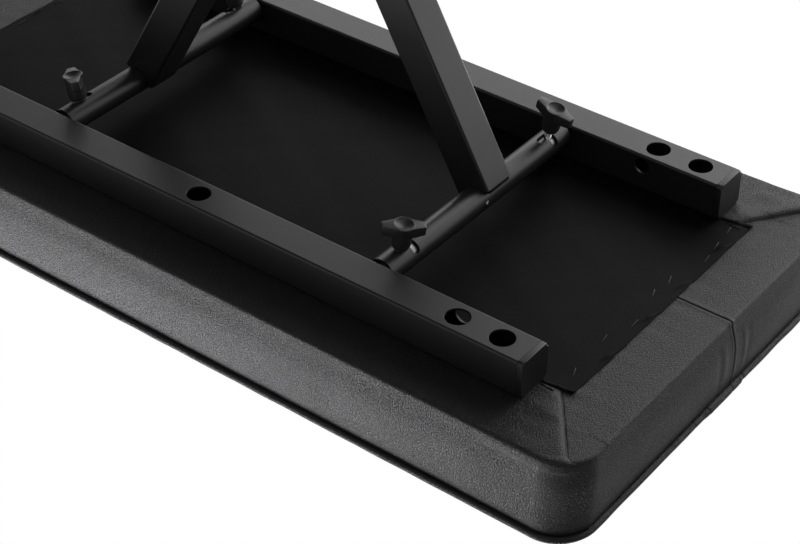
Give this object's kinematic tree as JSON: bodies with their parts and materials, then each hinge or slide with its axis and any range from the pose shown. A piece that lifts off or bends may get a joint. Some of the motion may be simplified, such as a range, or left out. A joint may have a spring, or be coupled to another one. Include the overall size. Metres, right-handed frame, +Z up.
{
  "type": "folding keyboard bench",
  "caption": "Folding keyboard bench with a padded rectangular seat on square rails, a scissor of square legs and wing-knob locking pins.",
  "frame": {"origin": "on the floor, below the middle of the bench as it stands open on its feet", "axes": "+X along the seat's length, +Y across the seat to the back rail, +Z up to the cushion"},
  "size_m": [0.6208, 0.3132, 0.5534],
  "materials": {
    "plywood": "raw plywood",
    "foam": "open cell foam",
    "leatherette": "grained satin",
    "liner_cloth": "matte non-woven",
    "powder_coat": "satin powder coat",
    "black_plastic": "fine matte moulding",
    "knob_plastic": "fine matte moulding",
    "foot_rubber": "matte rubber",
    "zinc_steel": "bright zinc plate",
    "chrome_screw": "polished thread"
  },
  "bodies": {
    "seat": {"seat_board": "plywood", "seat_foam": "foam", "seat_cover": "leatherette", "seat_piping": "leatherette", "dust_cloth": "liner_cloth", "seat_screw_front_1": "zinc_steel", "seat_screw_front_2": "zinc_steel", "seat_screw_front_3": "zinc_steel", "seat_screw_front_4": "zinc_steel", "seat_screw_front_5": "zinc_steel", "seat_screw_back_1": "zinc_steel", "seat_screw_back_2": "zinc_steel", "seat_screw_back_3": "zinc_steel", "seat_screw_back_4": "zinc_steel", "seat_screw_back_5": "zinc_steel", "rail_front": "powder_coat", "rail_back": "powder_coat", "rail_cap_front_left": "black_plastic", "rail_cap_front_right": "black_plastic", "rail_cap_back_left": "black_plastic", "rail_cap_back_right": "black_plastic"},
    "frame_right": {"cross_tube_right": "powder_coat", "leg_right": "powder_coat", "foot_bar_right": "powder_coat", "pivot_bush_right": "zinc_steel", "foot_cap_right_front": "foot_rubber", "foot_cap_right_back": "foot_rubber", "pivot_bolt": "zinc_steel", "pivot_nut": "zinc_steel", "pivot_washer_front": "zinc_steel", "pivot_washer_back": "zinc_steel", "pivot_spacer": "black_plastic"},
    "frame_left": {"cross_tube_left": "powder_coat", "leg_left": "powder_coat", "foot_bar_left": "powder_coat", "pivot_bush_left": "zinc_steel", "foot_cap_left_front": "foot_rubber", "foot_cap_left_back": "foot_rubber"},
    "pin_right_front": {"locking_pin_right_front": "zinc_steel"},
    "pin_right_back": {"locking_pin_right_back": "zinc_steel"},
    "pin_left_front": {"locking_pin_left_front": "zinc_steel"},
    "pin_left_back": {"locking_pin_left_back": "zinc_steel"},
    "turn_right_front": {"knob_screw_right_front": "chrome_screw", "knob_right_front": "knob_plastic"},
    "turn_right_back": {"knob_screw_right_back": "chrome_screw", "knob_right_back": "knob_plastic"},
    "turn_left_front": {"knob_screw_left_front": "chrome_screw", "knob_left_front": "knob_plastic"},
    "turn_left_back": {"knob_screw_left_back": "chrome_screw", "knob_left_back": "knob_plastic"}
  },
  "joints": [
    {"name": "fold", "type": "hinge", "parent": "seat", "child": "frame_right", "pos_m": [0.131, 0, 0.4682], "axis": [0, 1, 0], "range_deg": [0, 55]},
    {"name": "scissor", "type": "hinge", "parent": "frame_right", "child": "frame_left", "pos_m": [0, 0, 0.2413], "axis": [0, -1, 0], "range_deg": [0, 110]},
    {"name": "pin_slide_right_front", "type": "slide", "parent": "frame_right", "child": "pin_right_front", "axis": [0, 1, 0], "range_m": [0, 0.0082]},
    {"name": "pin_slide_right_back", "type": "slide", "parent": "frame_right", "child": "pin_right_back", "axis": [0, -1, 0], "range_m": [0, 0.0082]},
    {"name": "pin_slide_left_front", "type": "slide", "parent": "frame_left", "child": "pin_left_front", "axis": [0, 1, 0], "range_m": [0, 0.0082]},
    {"name": "pin_slide_left_back", "type": "slide", "parent": "frame_left", "child": "pin_left_back", "axis": [0, -1, 0], "range_m": [0, 0.0082]},
    {"name": "knob_turn_right_front", "type": "hinge", "parent": "pin_right_front", "child": "turn_right_front", "pos_m": [0.131, -0.07765, 0.4682], "axis": [0.2079, 0, -0.9781], "range_deg": [0, 360]},
    {"name": "knob_turn_right_back", "type": "hinge", "parent": "pin_right_back", "child": "turn_right_back", "pos_m": [0.131, 0.07765, 0.4682], "axis": [0.1392, 0, -0.9903], "range_deg": [0, 360]},
    {"name": "knob_turn_left_front", "type": "hinge", "parent": "pin_left_front", "child": "turn_left_front", "pos_m": [-0.131, -0.07765, 0.4682], "axis": [-0.1392, 0, -0.9903], "range_deg": [0, 360]},
    {"name": "knob_turn_left_back", "type": "hinge", "parent": "pin_left_back", "child": "turn_left_back", "pos_m": [-0.131, 0.07765, 0.4682], "axis": [-0.2079, 0, -0.9781], "range_deg": [0, 360]}
  ],
  "couplings": [
    {"joint": "scissor", "follows": "fold", "ratio": 2}
  ]
}
